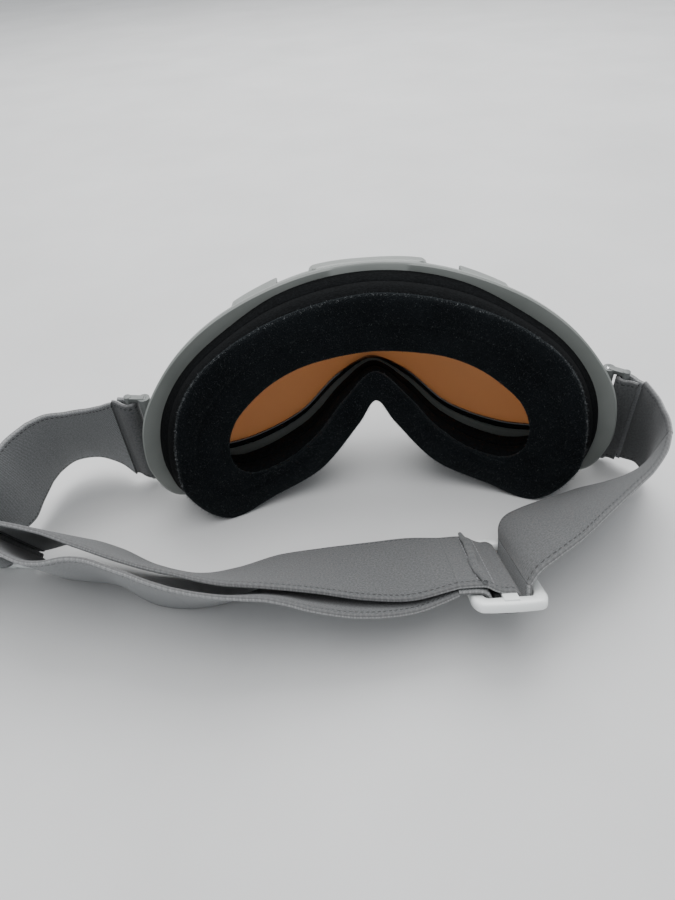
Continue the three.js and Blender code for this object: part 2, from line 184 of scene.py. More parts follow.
HALF_WIDTH = 85
WRAP = 28
FACE_SETBACK = 15.4
FORWARD_LEAN = 8
FOAM_DEPTH = 16.7
LEDGE_DEPTH = (27, 28.8)
INNER_LENS_DEPTH = (29.1, 30.3)
SPACER_DEPTH = (30.6, 31.8)
OUTER_LENS_DEPTH = (32.1, 33.3)
VENT_FOAM_DEPTH = (19.6, 25)
FLEECE_SEAM_DEPTH = 1.4
SIDE_STATION = 7  # the outline point where a side begins
STRAP_WIDTH = 38
STRAP_THICK = 1.6
FACE_COLUMNS = 13  # points across one face of the strap
LOOP_GAP = 0.3  # between the anchor bar and the strap round it
PIN_IN_GOGGLES = Vector((84.8, 19.5, 26.2))
ANCHOR = {"half_height": 21.2, "bar_offset": 6.2, "bar_radius": 1.3}
KNUCKLE = {"start": 8, "radius": 2.2}
PIN = {"radius": 1, "length": 41.6}
LUG = {"radius": 2.8, "length": 13.4, "reach": 5}
LEFT_SWING = 8
RIGHT_SWING = 35
SLIDER = {"length": 22, "width": 47, "thick": 3, "side_bar": 3.5, "slot_width": 40, "centre_bar": 3.4}
LEFT_SLIDER_TURN = (-11, 62)
RIGHT_SLIDER_TURN = (0, 26)
RIDGE = {"along": -7.2, "up": 6.2, "half_width": 1.25, "half_height": 0.95}

JOINTS = {joint["name"]: joint for joint in frame["joints"]}


def radians(degrees):
    return math.radians(degrees)


# The goggles' own frame: x to the wearer's right, y forwards, z up, leaning forward.
LEAN = Matrix.Rotation(-radians(FORWARD_LEAN), 3, "X")
RIGHT_PIN = Vector(JOINTS["right_anchor_hinge"]["pos_m"]) / MM
ORIGIN = RIGHT_PIN - LEAN @ PIN_IN_GOGGLES

# Half outlines seen from behind, (x, z), from the top centre round the side to the nose. The
# points of one outline match those of the others, so a section can blend from one to another.
FRAME_EDGE = [
    (0, 86), (20, 84.5), (39, 79.8), (56, 72.8), (68, 64.5), (76.5, 55), (82.5, 44.5),
    (84.8, 33), (84, 21), (77, 8), (50, 6), (27, 14.5), (11.5, 29.5), (0, 43),
]
FRONT_EDGE = [
    (0, 81.5), (20, 80.5), (38, 76), (54, 69), (65, 61), (73, 52.5), (79, 43),
    (81, 33), (80.5, 22), (73, 9.5), (50, 5.8), (27.5, 15), (12, 30), (0, 43),
]
LENS_EDGE = [
    (0, 70), (20, 69), (38, 65), (52, 58), (62, 49.5), (68, 41.5), (71, 34),
    (71.8, 28), (70, 21.5), (60, 19.5), (48, 19.7), (30, 26), (13, 41), (0, 46.6),
]
FOAM_BASE_EDGE = [
    (0, 83.5), (18, 82), (35, 77.7), (52, 69), (64, 61), (71.5, 53), (76.5, 44),
    (79, 33), (78.5, 20), (73, 7), (46, 6), (25.5, 14), (11, 28.5), (0, 42),
]
FOAM_FACE_EDGE = [
    (0, 79.5), (19, 77.3), (37, 72.7), (52, 66), (62, 58), (67.5, 49), (70, 38.5),
    (70.8, 28), (69.5, 15), (57, 0), (40, 5), (22, 13), (6.5, 30.9), (0, 40),
]
EYE_EDGE = [
    (0, 59.3), (14, 58.2), (26, 56), (36, 52), (44, 46.5), (50, 40.5), (53, 33.5),
    (53.5, 27), (51.5, 20.5), (46, 16.5), (34, 19), (22, 28), (11, 41.5), (0, 51.5),
]
STATIONS = 2 * (len(FRAME_EDGE) - 1)
FINE = 48  # samples between two points of an outline, where a piece is cut from a part of it

# Strap stations: (x, y, z, azimuth, lean), the middle of the strap and the direction of its
# width, measured from the goggles' origin.
LEFT_FRONT = [
    (-97.7, 24.2, 23, -90, 86), (-103, 25.3, 24.3, -74, 73), (-110, 25.5, 25.7, -62, 64),
    (-117, 23.5, 26.4, -57, 63), (-123, 19.5, 26.7, -55, 69), (-126.5, 14, 26.7, -62, 73),
]
LEFT_SIDE = [
    (-126.5, 14, 26.7, -62, 73), (-129.8, 5.5, 25.5, -82, 76), (-133, -4, 23, -98, 73),
    (-139, -11, 22, -101, 70), (-148, -13.5, 21.5, -101, 67), (-156, -17.5, 21, -101, 64),
    (-160, -23, 20.5, -101, 62), (-158.5, -28.5, 20, -101, 62), (-153, -28.2, 19.7, -101, 62),
]
INNER_RUN = [
    (-123.3, -24.9, 24, -101, 62), (-109, -26, 24, -96, 53), (-95, -30, 21, -94, 51), (-82, -35, 18, -93, 53),
    (-67, -39, 16, -92, 52), (-53, -40, 15, -91, 44), (-38, -39, 15, -91, 35), (-23, -39, 14.3, -92, 29),
    (-9, -40, 14, -92, 23), (4, -41, 14.9, -92, 20), (18, -41.5, 17.2, -90, 26),
]
OUTER_RUN = [
    (18, -42.7, 15.2, -90, 26), (5, -45, 12.2, -87, 25), (-10, -47, 12, -86, 28), (-24, -48, 13, -85, 36),
    (-38, -48, 15, -84, 45), (-52, -50, 16.2, -85, 53), (-66, -50, 17.5, -88, 61), (-80, -46, 19, -90, 66),
    (-93, -40, 20.5, -97, 63), (-106, -38.5, 20, -100, 58), (-116, -35, 20.5, -100, 61),
    (-123.6, -28.7, 22.3, -101, 62),
]
RIGHT_FRONT = [
    (95.5, 15.3, 23.3, -90, 86), (98, 9.5, 23.5, -122, 79), (98.5, 3.5, 22.8, -124, 78),
    (97, -2, 22.1, -104, 78), (94.3, -5.8, 21.5, -83, 73),
]
RIGHT_SIDE = [
    (94.3, -5.8, 21.5, -83, 73), (88, -10, 21, -68, 62), (79, -14.5, 21.5, -67, 48), (70, -19.5, 21, -67, 42),
    (61, -25, 21, -68, 36), (52, -31, 21, -71, 30), (45, -35.5, 20.7, -77, 27), (40.4, -39, 19.2, -85, 26),
    (38.6, -41.9, 16.7, -90, 26),
]
# Paths through a slider, (along, inwards), as in the CAD.
SEWN_LOOP = [
    (-14.7, 4.75), (-9, 4.85), (-6, 4.5), (-3.5, 3.1), (-1, 2.2), (1.2, 2.15), (2.7, 1.2), (2.85, -1),
    (1.2, -2.15), (-1.2, -2.15), (-2.7, -1.2), (-2.85, 0.2),
]
THREAD_RIGHT = [
    (6.1, 4.1), (6.1, 2.6), (6, 0.5), (5.4, -2), (3.4, -3.7), (0, -4.1),
    (-3.4, -3.7), (-5.3, -2), (-5.5, 0.3), (-6.6, 2.1), (-9, 2.75), (-14.5, 2.75),
]
SEWN_LOOP_LEFT = [
    (14, 2.7), (9, 2.75), (5.5, 2.5), (3, 2.2), (-1.2, 2.15), (-2.7, 1.2), (-2.85, -1),
    (-1.2, -2.15), (1.2, -2.15), (2.7, -1.2), (2.85, 0.2),
]
THREAD_LEFT = [
    (14, 4.85), (9, 4.75), (4, 4.25), (0, 4.1), (-3, 3.9), (-5, 2.4), (-5.5, 0), (-6.6, -2.1),
    (-9, -2.8), (-14, -3.6),
]


# ---- Curves and meshes ----


def spline(points, closed, count):
    """A centripetal Catmull-Rom curve through the points, sampled evenly by station."""
    p = np.array(points, float)
    spans = len(p) if closed else len(p) - 1
    if closed:
        p = np.vstack([p[-1], p, p[0], p[1]])
    else:
        p = np.vstack([2 * p[0] - p[1], p, 2 * p[-1] - p[-2]])
    t = np.linspace(0, spans, count, endpoint=not closed)
    i = np.minimum(t.astype(int), spans - 1)
    f = t - i
    p0, p1, p2, p3 = p[i], p[i + 1], p[i + 2], p[i + 3]
    pairs = ((p0, p1), (p1, p2), (p2, p3))
    d = [np.maximum(np.linalg.norm(b - a, axis=1), 1e-9)[:, None] ** 0.5 for a, b in pairs]
    m1 = (p1 - p0) / d[0] - (p2 - p0) / (d[0] + d[1]) + (p2 - p1) / d[1]
    m2 = (p2 - p1) / d[1] - (p3 - p1) / (d[1] + d[2]) + (p3 - p2) / d[2]
    m1, m2, f = m1 * d[1], m2 * d[1], f[:, None]
    return p1 + m1 * f + (3 * (p2 - p1) - 2 * m1 - m2) * f**2 + (2 * (p1 - p2) + m1 + m2) * f**3


def blend(a, b, share):
    """An outline part of the way from one outline to another."""
    return [tuple(np.array(p) + (np.array(q) - np.array(p)) * share) for p, q in zip(a, b)]


def wrap_at(x):
    return WRAP * (1 - (x / HALF_WIDTH) ** 2) - FACE_SETBACK


def outline(half, depth, count=STATIONS * 8):
    """A whole outline on the goggles' wrap at a depth from the face, in the goggles' frame."""
    mirrored = [(-x, z) for x, z in half[-2:0:-1]]
    xz = spline(list(half) + mirrored, True, count)
    return np.column_stack([xz[:, 0], wrap_at(xz[:, 0]) + depth, xz[:, 1]])


def to_row(points):
    """Points of the goggles' frame, in metres in the row frame."""
    return (np.array(points) @ np.array(LEAN.transposed()) + np.array(ORIGIN)) * MM


def make_mesh(name, vertices, faces, material, smooth=True):
    mesh = bpy.data.meshes.new(name)
    mesh.from_pydata([tuple(v) for v in vertices], [], faces)
    mesh.validate()
    mesh.materials.append(material)
    if smooth:
        mesh.polygons.foreach_set("use_smooth", [True] * len(mesh.polygons))
    obj = bpy.data.objects.new(name, mesh)
    bpy.context.scene.collection.objects.link(obj)
    return obj


def grid_faces(rows, columns, closed_rows=True, closed_columns=True):
    faces = []
    for r in range(rows if closed_rows else rows - 1):
        for c in range(columns if closed_columns else columns - 1):
            r2, c2 = (r + 1) % rows, (c + 1) % columns
            faces.append((r * columns + c, r2 * columns + c, r2 * columns + c2, r * columns + c2))
    return faces


def ring(name, corners, material, count=STATIONS * 8, ripple=None):
    """A closed ring with one section corner on each outline, and its faces turned outwards."""
    loops = [outline(half, depth, count) for half, depth in corners]
    points = np.stack(loops)
    if ripple is not None:
        points = ripple(points)
    rows, columns = points.shape[:2]
    obj = make_mesh(name, to_row(points.reshape(-1, 3)), grid_faces(rows, columns), material)
    face_outwards(obj)
    return obj


def face_outwards(obj):
    work = bmesh.new()
    work.from_mesh(obj.data)
    bmesh.ops.recalc_face_normals(work, faces=work.faces)
    work.to_mesh(obj.data)
    work.free()


def soften(obj, width_mm, segments=3, angle=35):
    """Rounds the sharp edges of a piece by a bevel, with its shading kept flat on broad faces."""
    bevel = obj.modifiers.new("Bevel", "BEVEL")
    bevel.width = width_mm * MM
    bevel.segments = segments
    bevel.limit_method = "ANGLE"
    bevel.angle_limit = radians(angle)
    bevel.harden_normals = True
    apply_modifiers(obj)
    return obj


def apply_modifiers(obj):
    bpy.context.view_layer.objects.active = obj
    for selected in bpy.context.selected_objects:
        selected.select_set(False)
    obj.select_set(True)
    for modifier in list(obj.modifiers):
        bpy.ops.object.modifier_apply(modifier=modifier.name)
    obj.select_set(False)


def join(objects):
    bpy.context.view_layer.objects.active = objects[0]
    for selected in bpy.context.selected_objects:
        selected.select_set(False)
    for obj in objects:
        obj.select_set(True)
    bpy.ops.object.join()
    objects[0].select_set(False)
    return objects[0]


# ---- Materials ----


class Shader:
    """A material with a principled shader, and short ways to add and link nodes."""

    def __init__(self, name, color, roughness, **values):
        self.material = bpy.data.materials.new(name)
        self.material.use_nodes = True
        self.tree = self.material.node_tree
        self.surface = self.tree.nodes["Principled BSDF"]
        self.put("Base Color", (*color, 1))
        self.put("Roughness", roughness)
        for socket, value in values.items():
            self.put(socket.replace("_", " "), value)

    def put(self, socket, value):
        self.surface.inputs[socket].default_value = value

    def node(self, kind, inputs=None, **settings):
        made = self.tree.nodes.new(kind)
        for key, value in settings.items():
            setattr(made, key, value)
        for key, value in (inputs or {}).items():
            if isinstance(value, bpy.types.NodeSocket):
                self.tree.links.new(value, made.inputs[key])
            else:
                made.inputs[key].default_value = value
        return made

    def math(self, operation, a, b=0.0, c=0.0):
        made = self.node("ShaderNodeMath", {0: a, 1: b, 2: c}, operation=operation)
        return made.outputs[0]

    def noise(self, scale, detail=4.0, vector=None, roughness=0.55):
        inputs = {"Scale": scale, "Detail": detail, "Roughness": roughness}
        if vector is not None:
            inputs["Vector"] = vector
        else:
            inputs["Vector"] = self.node("ShaderNodeTexCoord").outputs["Object"]
        return self.node("ShaderNodeTexNoise", inputs).outputs[0]

    def ramp(self, value, stops):
        made = self.node("ShaderNodeValToRGB", {"Fac": value})
        elements = made.color_ramp.elements
        while len(elements) < len(stops):
            elements.new(0.5)
        for element, (position, color) in zip(elements, stops):
            element.position = position
            element.color = (*color, 1)
        return made.outputs["Color"]

    def mix(self, share, a, b):
        made = self.node("ShaderNodeMix", data_type="RGBA")
        for key, value in ((0, share), (6, a), (7, b)):
            if isinstance(value, bpy.types.NodeSocket):
                self.tree.links.new(value, made.inputs[key])
            elif key == 0:
                made.inputs[key].default_value = value
            else:
                made.inputs[key].default_value = (*value, 1)
        return made.outputs[2]

    def bump(self, height, strength, distance_mm):
        inputs = {"Height": height, "Strength": strength, "Distance": distance_mm * MM}
        made = self.node("ShaderNodeBump", inputs)
        self.link(made.outputs["Normal"], "Normal")

    def link(self, value, socket):
        self.tree.links.new(value, self.surface.inputs[socket])


def frame_material():
    s = Shader("frame_polyurethane", (0.2, 0.215, 0.2), 0.42, Coat_Weight=0.25, Coat_Roughness=0.3)
    cloud = s.noise(35.0, 3.0)
    s.link(s.ramp(cloud, [(0.3, (0.185, 0.2, 0.187)), (0.7, (0.235, 0.25, 0.235))]), "Base Color")
    s.link(s.math("MULTIPLY_ADD", s.noise(260.0), 0.2, 0.32), "Roughness")
    s.bump(s.noise(1500.0, 2.0), 0.12, 0.15)
    return s.material


def seal_material():
    s = Shader("lens_rim_gloss", (0.006, 0.007, 0.008), 0.16, Coat_Weight=0.6)
    s.link(s.math("MULTIPLY_ADD", s.noise(90.0), 0.18, 0.08), "Roughness")
    s.bump(s.noise(60.0, 2.0), 0.1, 0.4)
    return s.material


def spacer_material():
    s = Shader("lens_spacer_rubber", (0.012, 0.012, 0.013), 0.85)
    s.bump(s.noise(900.0), 0.3, 0.2)
    return s.material


def lens_material(name, color, roughness):
    """Tinted polycarbonate: it lets light through spread out, and its own surface shines a little."""
    s = Shader(name, color, roughness, Coat_Weight=0.3, Coat_Roughness=0.08)
    haze = s.noise(14.0, 2.0)
    darker = tuple(0.86 * c for c in color)
    s.link(s.ramp(haze, [(0.25, darker), (0.75, color)]), "Base Color")
    s.link(s.math("MULTIPLY_ADD", s.noise(400.0), 0.08, roughness), "Roughness")
    glow = s.node("ShaderNodeBsdfTranslucent", {"Color": (*color, 1)})
    both = s.node("ShaderNodeMixShader", {0: 0.7, 1: s.surface.outputs[0], 2: glow.outputs[0]})
    output = s.tree.nodes["Material Output"]
    s.tree.links.new(both.outputs[0], output.inputs["Surface"])
    return s.material


def foam_material():
    s = Shader("face_foam", (0.003, 0.0035, 0.004), 1.0, Specular_IOR_Level=0.12)
    cells = s.noise(1300.0, 6.0)
    s.link(s.ramp(cells, [(0.4, (0.0012, 0.0015, 0.0018)), (0.8, (0.0075, 0.0085, 0.0095))]), "Base Color")
    s.bump(cells, 0.7, 0.5)
    return s.material


def fleece_material():
    s = Shader("fleece", (0.003, 0.004, 0.005), 1.0, Specular_IOR_Level=0.1, Sheen_Weight=0.06)
    s.put("Sheen Tint", (0.5, 0.6, 0.65, 1))
    pile = s.noise(2200.0, 5.0)
    patches = s.noise(70.0, 3.0)
    tone = s.math("MULTIPLY", pile, s.math("MULTIPLY_ADD", patches, 0.9, 0.5))
    s.link(s.ramp(tone, [(0.3, (0.0012, 0.0018, 0.0024)), (0.8, (0.009, 0.0115, 0.0135))]), "Base Color")
    s.bump(pile, 0.9, 0.6)
    return s.material


def fibre_material(name, darkest, palest):
    s = Shader(name, palest, 0.9)
    s.link(s.ramp(s.noise(900.0, 2.0), [(0.42, darkest), (0.8, palest)]), "Base Color")
    return s.material


def strap_material(name, tone, napped):
    """Elastic webbing. Its UV map holds millimetres: u along the strap, v across it."""
    s = Shader(name, (tone, tone, tone), 0.92, Sheen_Weight=0.15, Sheen_Roughness=0.5)
    uv = s.node("ShaderNodeUVMap", uv_map="UVMap").outputs[0]
    axes = s.node("ShaderNodeSeparateXYZ", {0: uv})
    along, across = axes.outputs[0], axes.outputs[1]
    ribs = s.math("SINE", s.math("MULTIPLY", across, 2 * math.pi / 0.75))
    picks = s.math("SINE", s.math("MULTIPLY", along, 2 * math.pi / 0.9))
    weave = s.math("MULTIPLY", ribs, picks)
    nap = s.noise(1.5, 6.0, uv, 0.75)
    cloud = s.noise(0.1, 3.0, uv)
    fabric = s.math("MULTIPLY_ADD", weave, 0.06 if napped else 0.32, nap)
    low, high = 0.3 * tone, 1.7 * tone
    base = s.ramp(fabric, [(0.3, (low, 1.04 * low, 1.07 * low)), (0.7, (high, 1.03 * high, 1.04 * high))])
    clouded = s.mix(s.math("MULTIPLY", cloud, 0.4), base, (0.74 * tone, 0.76 * tone, 0.79 * tone))
    # The overlocked edge: a narrow pale roll, then a dark row of needle holes.
    edge = s.math("SUBTRACT", STRAP_WIDTH / 2, s.math("ABSOLUTE", across))
    slant = s.math("SINE", s.math("MULTIPLY_ADD", along, 2 * math.pi / 1.7, s.math("MULTIPLY", edge, 1.6)))
    roll = s.math("LESS_THAN", edge, 0.6)
    row = s.math("COMPARE", edge, 1.7, 0.3)
    dash = s.math("GREATER_THAN", slant, -0.2)
    holes = s.math("MULTIPLY", row, dash)
    thread = s.ramp(slant, [(0.0, (1.25 * tone,) * 3), (1.0, (1.6 * tone,) * 3)])
    edged = s.mix(s.math("MULTIPLY", roll, 0.7), clouded, thread)
    s.link(s.mix(s.math("MULTIPLY", holes, 0.9), edged, (0.2 * tone, 0.2 * tone, 0.21 * tone)), "Base Color")
    height = s.math("SUBTRACT", s.math("MULTIPLY_ADD", roll, s.math("MULTIPLY", slant, 0.1), fabric), holes)
    s.bump(height, 0.6, 0.35)
    return s.material


def slider_material():
    s = Shader("white_slider", (0.82, 0.85, 0.83), 0.32, Coat_Weight=0.2, Subsurface_Weight=0.08)
    s.put("Subsurface Radius", (0.004, 0.004, 0.004))
    s.link(s.ramp(s.noise(45.0), [(0.3, (0.86, 0.885, 0.87)), (0.7, (0.93, 0.95, 0.94))]), "Base Color")
    s.link(s.math("MULTIPLY_ADD", s.noise(350.0), 0.2, 0.24), "Roughness")
    s.bump(s.noise(700.0, 2.0), 0.08, 0.1)
    return s.material


def anchor_material():
    s = Shader("anchor_plastic", (0.1, 0.11, 0.11), 0.5)
    s.link(s.ramp(s.noise(80.0), [(0.3, (0.13, 0.14, 0.135)), (0.7, (0.18, 0.19, 0.185))]), "Base Color")
    s.bump(s.noise(1200.0, 2.0), 0.15, 0.1)
    return s.material


def pin_material():
    s = Shader("pin_steel", (0.55, 0.56, 0.57), 0.3, Metallic=1.0)
    s.link(s.math("MULTIPLY_ADD", s.noise(900.0), 0.25, 0.2), "Roughness")
    return s.material


def thread_material():
    s = Shader("sewing_thread", (0.2, 0.2, 0.205), 0.8)
    s.link(s.ramp(s.noise(2500.0), [(0.3, (0.14, 0.14, 0.145)), (0.7, (0.3, 0.3, 0.31))]), "Base Color")
    return s.material


def table_material():
    s = Shader("table", (0.68, 0.68, 0.68), 0.6)
    s.link(s.ramp(s.noise(9.0, 8.0), [(0.3, (0.64, 0.64, 0.635)), (0.7, (0.71, 0.71, 0.705))]), "Base Color")
    s.bump(s.noise(600.0), 0.03, 0.2)
    return s.material


FRAME_LOOK = frame_material()
SEAL_LOOK = seal_material()
SPACER_LOOK = spacer_material()
INNER_LENS_LOOK = lens_material("inner_lens_tint", (0.8, 0.62, 0.44), 0.25)
OUTER_LENS_LOOK = lens_material("outer_lens_tint", (0.82, 0.64, 0.46), 0.12)
FOAM_LOOK = foam_material()
FLEECE_LOOK = fleece_material()
FIBRE_LOOK = fibre_material("fleece_fibres", (0.005, 0.006, 0.007), (0.15, 0.165, 0.17))
SEAM_LOOK = fibre_material("seam_fibres", (0.03, 0.033, 0.035), (0.42, 0.44, 0.45))
STRAP_INSIDE = strap_material("strap_inside", 0.1, True)
STRAP_OUTSIDE = strap_material("strap_outside", 0.22, False)
SLIDER_LOOK = slider_material()
ANCHOR_LOOK = anchor_material()
PIN_LOOK = pin_material()
THREAD_LOOK = thread_material()


# ---- Goggles ----


def finish_piece(obj, body, slot, *nodes):
    """Fixes a piece to its body, and names its material slot and the CAD nodes it stands for."""
    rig.ride(obj, body)
    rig.slot(obj, slot)
    if nodes:
        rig.replaces(obj, *nodes)
    return obj


def strip(name, span, inner, outer, depths, material, steps=24):
    """A piece along part of a ring, between two outlines and two depths."""
    count = STATIONS * FINE
    low, high = outline(inner, 0, count), outline(outer, 0, count)
    index = np.linspace(span[0] * FINE, span[1] * FINE, steps + 1).round().astype(int) % count
    corners = []
    for loop, depth in ((low, depths[0]), (low, depths[1]), (high, depths[1]), (high, depths[0])):
        points = loop[index].copy()
        points[:, 1] += depth
        corners.append(points)
    points = np.stack(corners)
    columns = steps + 1
    faces = grid_faces(4, columns, closed_columns=False)
    faces += [tuple(r * columns for r in range(4)), tuple(r * columns + steps for r in (3, 2, 1, 0))]
    obj = make_mesh(name, to_row(points.reshape(-1, 3)), faces, material)
    face_outwards(obj)
    return obj


def build_frame():
    """The frame ring with its rear flange, lens ledge and front rim, its raised pads and hinge lugs."""

    def rim(share):
        return blend(FRAME_EDGE, LENS_EDGE, share)

    def front(share):
        return blend(FRONT_EDGE, LENS_EDGE, share)

    body = ring("frame_body", [
        (rim(0.04), 17), (rim(0), 17.6), (rim(0), 19.4), (rim(0.03), 20.4),
        (blend(FRAME_EDGE, FRONT_EDGE, 0.5), 22.4), (blend(FRAME_EDGE, FRONT_EDGE, 0.75), 28),
        (front(0), 34), (front(0.05), 35.4), (front(0.14), 36),
        (front(0.28), 36), (front(0.3), 35.6), (front(0.3), LEDGE_DEPTH[1]), (front(0.8), LEDGE_DEPTH[1]),
        (front(0.8), LEDGE_DEPTH[0]), (front(0.34), LEDGE_DEPTH[0]), (rim(0.34), 18.8), (rim(0.58), 18.6),
        (rim(0.6), 18), (rim(0.6), 17.3), (rim(0.56), 17),
    ], FRAME_LOOK)
    pads = []
    for number, span in enumerate([(-1.1, 1.1), (1.75, 2.75), (-2.75, -1.75)]):
        pad = strip(f"pad_{number}", span, front(0.15), front(-0.22), (25, 33), FRAME_LOOK)
        pads.append(soften(pad, 2.6, 5))
    whole = join([body, *pads, *hinge_lugs()])
    whole.name = "goggle_frame"
    shade_by_angle(whole, 40)
    return finish_piece(whole, "goggles", "frame", "frame")


def shade_by_angle(obj, degrees):
    bpy.context.view_layer.objects.active = obj
    obj.select_set(True)
    bpy.ops.object.shade_smooth_by_angle(angle=radians(degrees))
    obj.select_set(False)


def hinge_lugs():
    made = []
    for side in (-1, 1):
        place = hinge_place(side)
        radius, length, reach = LUG["radius"] * MM, LUG["length"] * MM, LUG["reach"] * MM
        lug = rod(radius, length, (0, 0, 0), 48)
        web = cube((reach, 2 * radius, length), (-side * reach / 2, 0, 0))
        for part in (lug, web):
            part.data.transform(place)
            part.data.materials.append(FRAME_LOOK)
            made.append(soften(part, 0.4))
    return made


def hinge_place(side):
    joint = JOINTS["right_anchor_hinge" if side > 0 else "left_anchor_hinge"]
    axis = Vector(joint["axis"])
    turn = Vector((0, 0, 1)).rotation_difference(axis).to_matrix().to_4x4()
    return Matrix.Translation(Vector(joint["pos_m"])) @ turn


def build_lenses():
    plates = (
        ("inner_lens", INNER_LENS_DEPTH, INNER_LENS_LOOK),
        ("outer_lens", OUTER_LENS_DEPTH, OUTER_LENS_LOOK),
    )
    for node, (near, far), look in plates:
        edge = blend(FRONT_EDGE, LENS_EDGE, 0.43)
        points, faces = lens_plate(edge, near, far)
        plate = make_mesh(f"{node}_plate", to_row(points), faces, look)
        face_outwards(plate)
        finish_piece(plate, "goggles", "lens", node)
    mid = blend(FRONT_EDGE, LENS_EDGE, 0.5)
    inner = blend(FRONT_EDGE, LENS_EDGE, 0.72)
    near, far = SPACER_DEPTH
    spacer = ring("lens_spacer_ring", [(mid, near), (mid, far), (inner, far), (inner, near)], SPACER_LOOK)
    finish_piece(spacer, "goggles", "spacer", "lens_spacer")
    outer = blend(FRONT_EDGE, LENS_EDGE, 0.79)
    lip = blend(FRONT_EDGE, LENS_EDGE, 0.95)
    seal = ring("lens_rim", [
        (outer, 26.7), (outer, 25.7), (lip, 25.1), (LENS_EDGE, 25.4), (LENS_EDGE, 26.3), (lip, 26.7),
    ], SEAL_LOOK)
    shade_by_angle(seal, 50)
    finish_piece(seal, "goggles", "seal", "lens_rim_seal")


def lens_plate(half, near, far, columns=80, rows=20):
    """A curved plate between the upper and the lower half of an outline."""
    count = STATIONS * FINE
    loop = outline(half, 0, count)
    side = SIDE_STATION * FINE
    cut = 14  # samples left out at the side, where the plate has short straight ends
    top = loop[np.linspace(-(side - cut), side - cut, columns + 1).round().astype(int) % count]
    bottom = loop[np.linspace(count - side - cut, side + cut, columns + 1).round().astype(int) % count]
    share = np.linspace(0, 1, rows + 1)[:, None, None]
    sheet = bottom[None] * (1 - share) + top[None] * share
    sheet[:, :, 1] = wrap_at(sheet[:, :, 0])
    size = (rows + 1) * (columns + 1)
    flat = sheet.reshape(-1, 3)
    points = np.vstack([flat + (0, near, 0), flat + (0, far, 0)])
    face = grid_faces(rows + 1, columns + 1, closed_rows=False, closed_columns=False)
    faces = face + [tuple(size + i for i in reversed(f)) for f in face]
    rim = list(range(columns + 1))
    rim += [r * (columns + 1) + columns for r in range(1, rows + 1)]
    rim += [rows * (columns + 1) + c for c in range(columns - 1, -1, -1)]
    rim += [r * (columns + 1) for r in range(rows - 1, 0, -1)]
    for i, a in enumerate(rim):
        b = rim[(i + 1) % len(rim)]
        faces.append((a, size + a, size + b, b))
    return points, faces


def build_foam():
    """Two foam layers and the fleece, between an outer and an inner surface that widen to the frame."""
    eye_base = blend(EYE_EDGE, LENS_EDGE, 0.45)

    def outer(depth, inset=0.0):
        edge = blend(FOAM_FACE_EDGE, FOAM_BASE_EDGE, depth / FOAM_DEPTH)
        return blend(edge, eye_base, inset)

    def inner(depth, inset=0.0):
        edge = blend(EYE_EDGE, eye_base, depth / FOAM_DEPTH)
        return blend(edge, FOAM_BASE_EDGE, inset)

    for node, near, far in (("foam_base", 10.2, 16.9), ("foam_middle", 3.1, 10.0)):
        mid = (near + far) / 2
        corners = [
            (outer(near, 0.02), near), (outer(near, 0), near + 0.3), (outer(mid, -0.004), mid),
            (outer(far, 0), far - 0.3), (outer(far, 0.02), far), (inner(far, 0.06), far),
            (inner(far, 0.0), far - 0.6), (inner(near, 0.0), near + 0.6), (inner(near, 0.06), near),
        ]
        layer = ring(f"{node}_layer", corners, FOAM_LOOK, ripple=lumps(0.12))
        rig.padded(finish_piece(layer, "goggles", "foam", node), fill=1.0)
    fleece = ring("face_fleece_layer", [
        (outer(2.9, 0.05), 2.9), (outer(2.7, -0.01), 2.5), (outer(1.6, -0.02), 1.6), (outer(0.6, 0.01), 0.7),
        (outer(0, 0.06), 0.1), (outer(0, 0.3), -0.3), (outer(0, 0.52), -0.5), (outer(0, 0.58), -0.35),
        (outer(0, 0.62), 0.15), (outer(0, 0.7), 0.05), (outer(0, 0.86), 0.05), (inner(0.2, 0.04), 0.4),
        (inner(1, 0.0), 1), (inner(2.4, 0.0), 2.4), (inner(2.9, 0.06), 2.9),
    ], FLEECE_LOOK, count=STATIONS * 12, ripple=lumps(0.35))
    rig.padded(finish_piece(fleece, "goggles", "fleece", "face_fleece"), fill=1.0)
    finish_piece(fleece_fibres(fleece), "goggles", "fleece")
    finish_piece(seam_fibres(outer(FLEECE_SEAM_DEPTH)), "goggles", "fleece")


def lumps(size):
    """Slow, soft unevenness along and round a foam ring."""

    def move(points):
        rows, columns = points.shape[:2]
        turn = np.linspace(0, 2 * math.pi, columns, endpoint=False)
        wave = sum(np.sin(k * turn + RANDOM.uniform(0, 6)) / k for k in (5, 9, 14, 23))
        points = points.copy()
        points[:, :, 2] += size * wave[None] * np.sin(np.linspace(0, 3, rows))[:, None]
        points[:, :, 1] += size * 0.5 * np.roll(wave, columns // 5)[None]
        return points

    return move


def fleece_fibres(fleece, count=60000):
    """Short fibres that stand off the whole fleece."""
    mesh = fleece.data
    mesh.calc_loop_triangles()
    triangles = np.array([t.vertices for t in mesh.loop_triangles])
    places = np.array([v.co for v in mesh.vertices])
    a, b, c = (places[triangles[:, k]] for k in range(3))
    cross = np.cross(b - a, c - a)
    area = np.linalg.norm(cross, axis=1)
    pick = RANDOM.choice(len(triangles), count, p=area / area.sum())
    u, v = RANDOM.random((2, count))
    flip = u + v > 1
    u[flip], v[flip] = 1 - u[flip], 1 - v[flip]
    root = a[pick] + (b - a)[pick] * u[:, None] + (c - a)[pick] * v[:, None]
    normal = cross[pick] / area[pick][:, None]
    return tufts("fleece_pile", root - normal * 0.1 * MM, normal, (0.3, 0.95), 0.6, FIBRE_LOOK)


